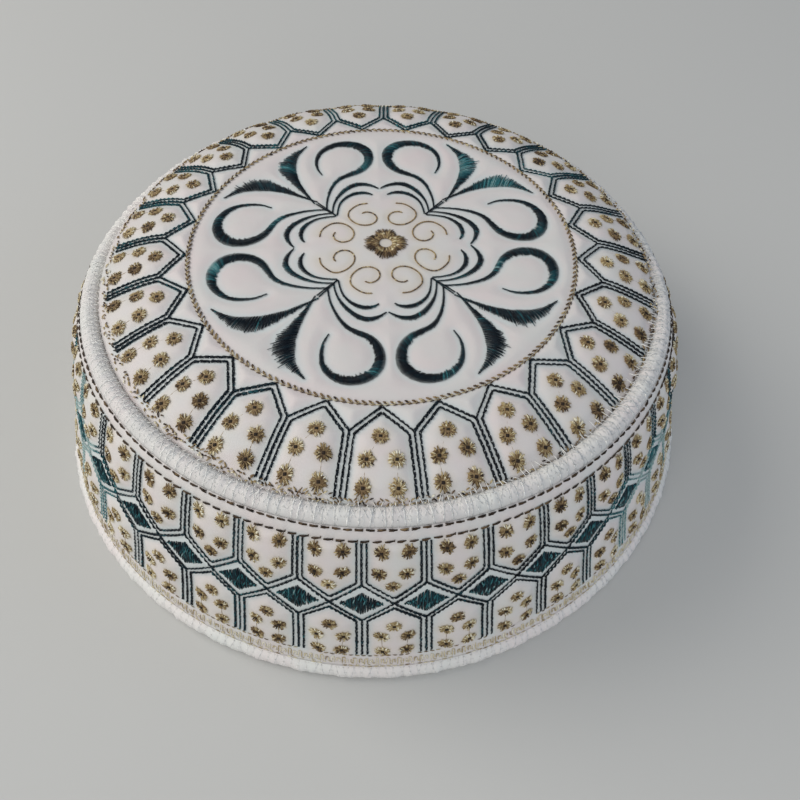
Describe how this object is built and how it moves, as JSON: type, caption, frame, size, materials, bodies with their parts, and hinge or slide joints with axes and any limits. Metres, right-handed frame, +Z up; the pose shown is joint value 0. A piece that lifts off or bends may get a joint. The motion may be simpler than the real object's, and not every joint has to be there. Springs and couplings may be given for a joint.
{
  "type": "kufi cap",
  "caption": "Round quilted cloth skullcap with a flat embroidered crown, a padded rim roll, a flared side band and a bound hem.",
  "frame": {"origin": "centre of the hem's underside, on the surface the cap rests on", "axes": "+Z up along the cap's axis, -Y towards the side that the picture is taken from"},
  "size_m": [0.1924, 0.1924, 0.0633],
  "materials": {
    "crown_cloth": "soft satin",
    "roll_cloth": "matt",
    "band_cloth": "soft satin",
    "hem_cloth": "matt",
    "dark_thread": "silky embroidery thread",
    "gold_thread": "silky embroidery thread",
    "white_thread": "matt overlock thread"
  },
  "bodies": {
    "root": {"crown_top": "crown_cloth", "rim_roll": "roll_cloth", "side_band": "band_cloth", "hem_binding": "hem_cloth"}
  },
  "joints": []
}
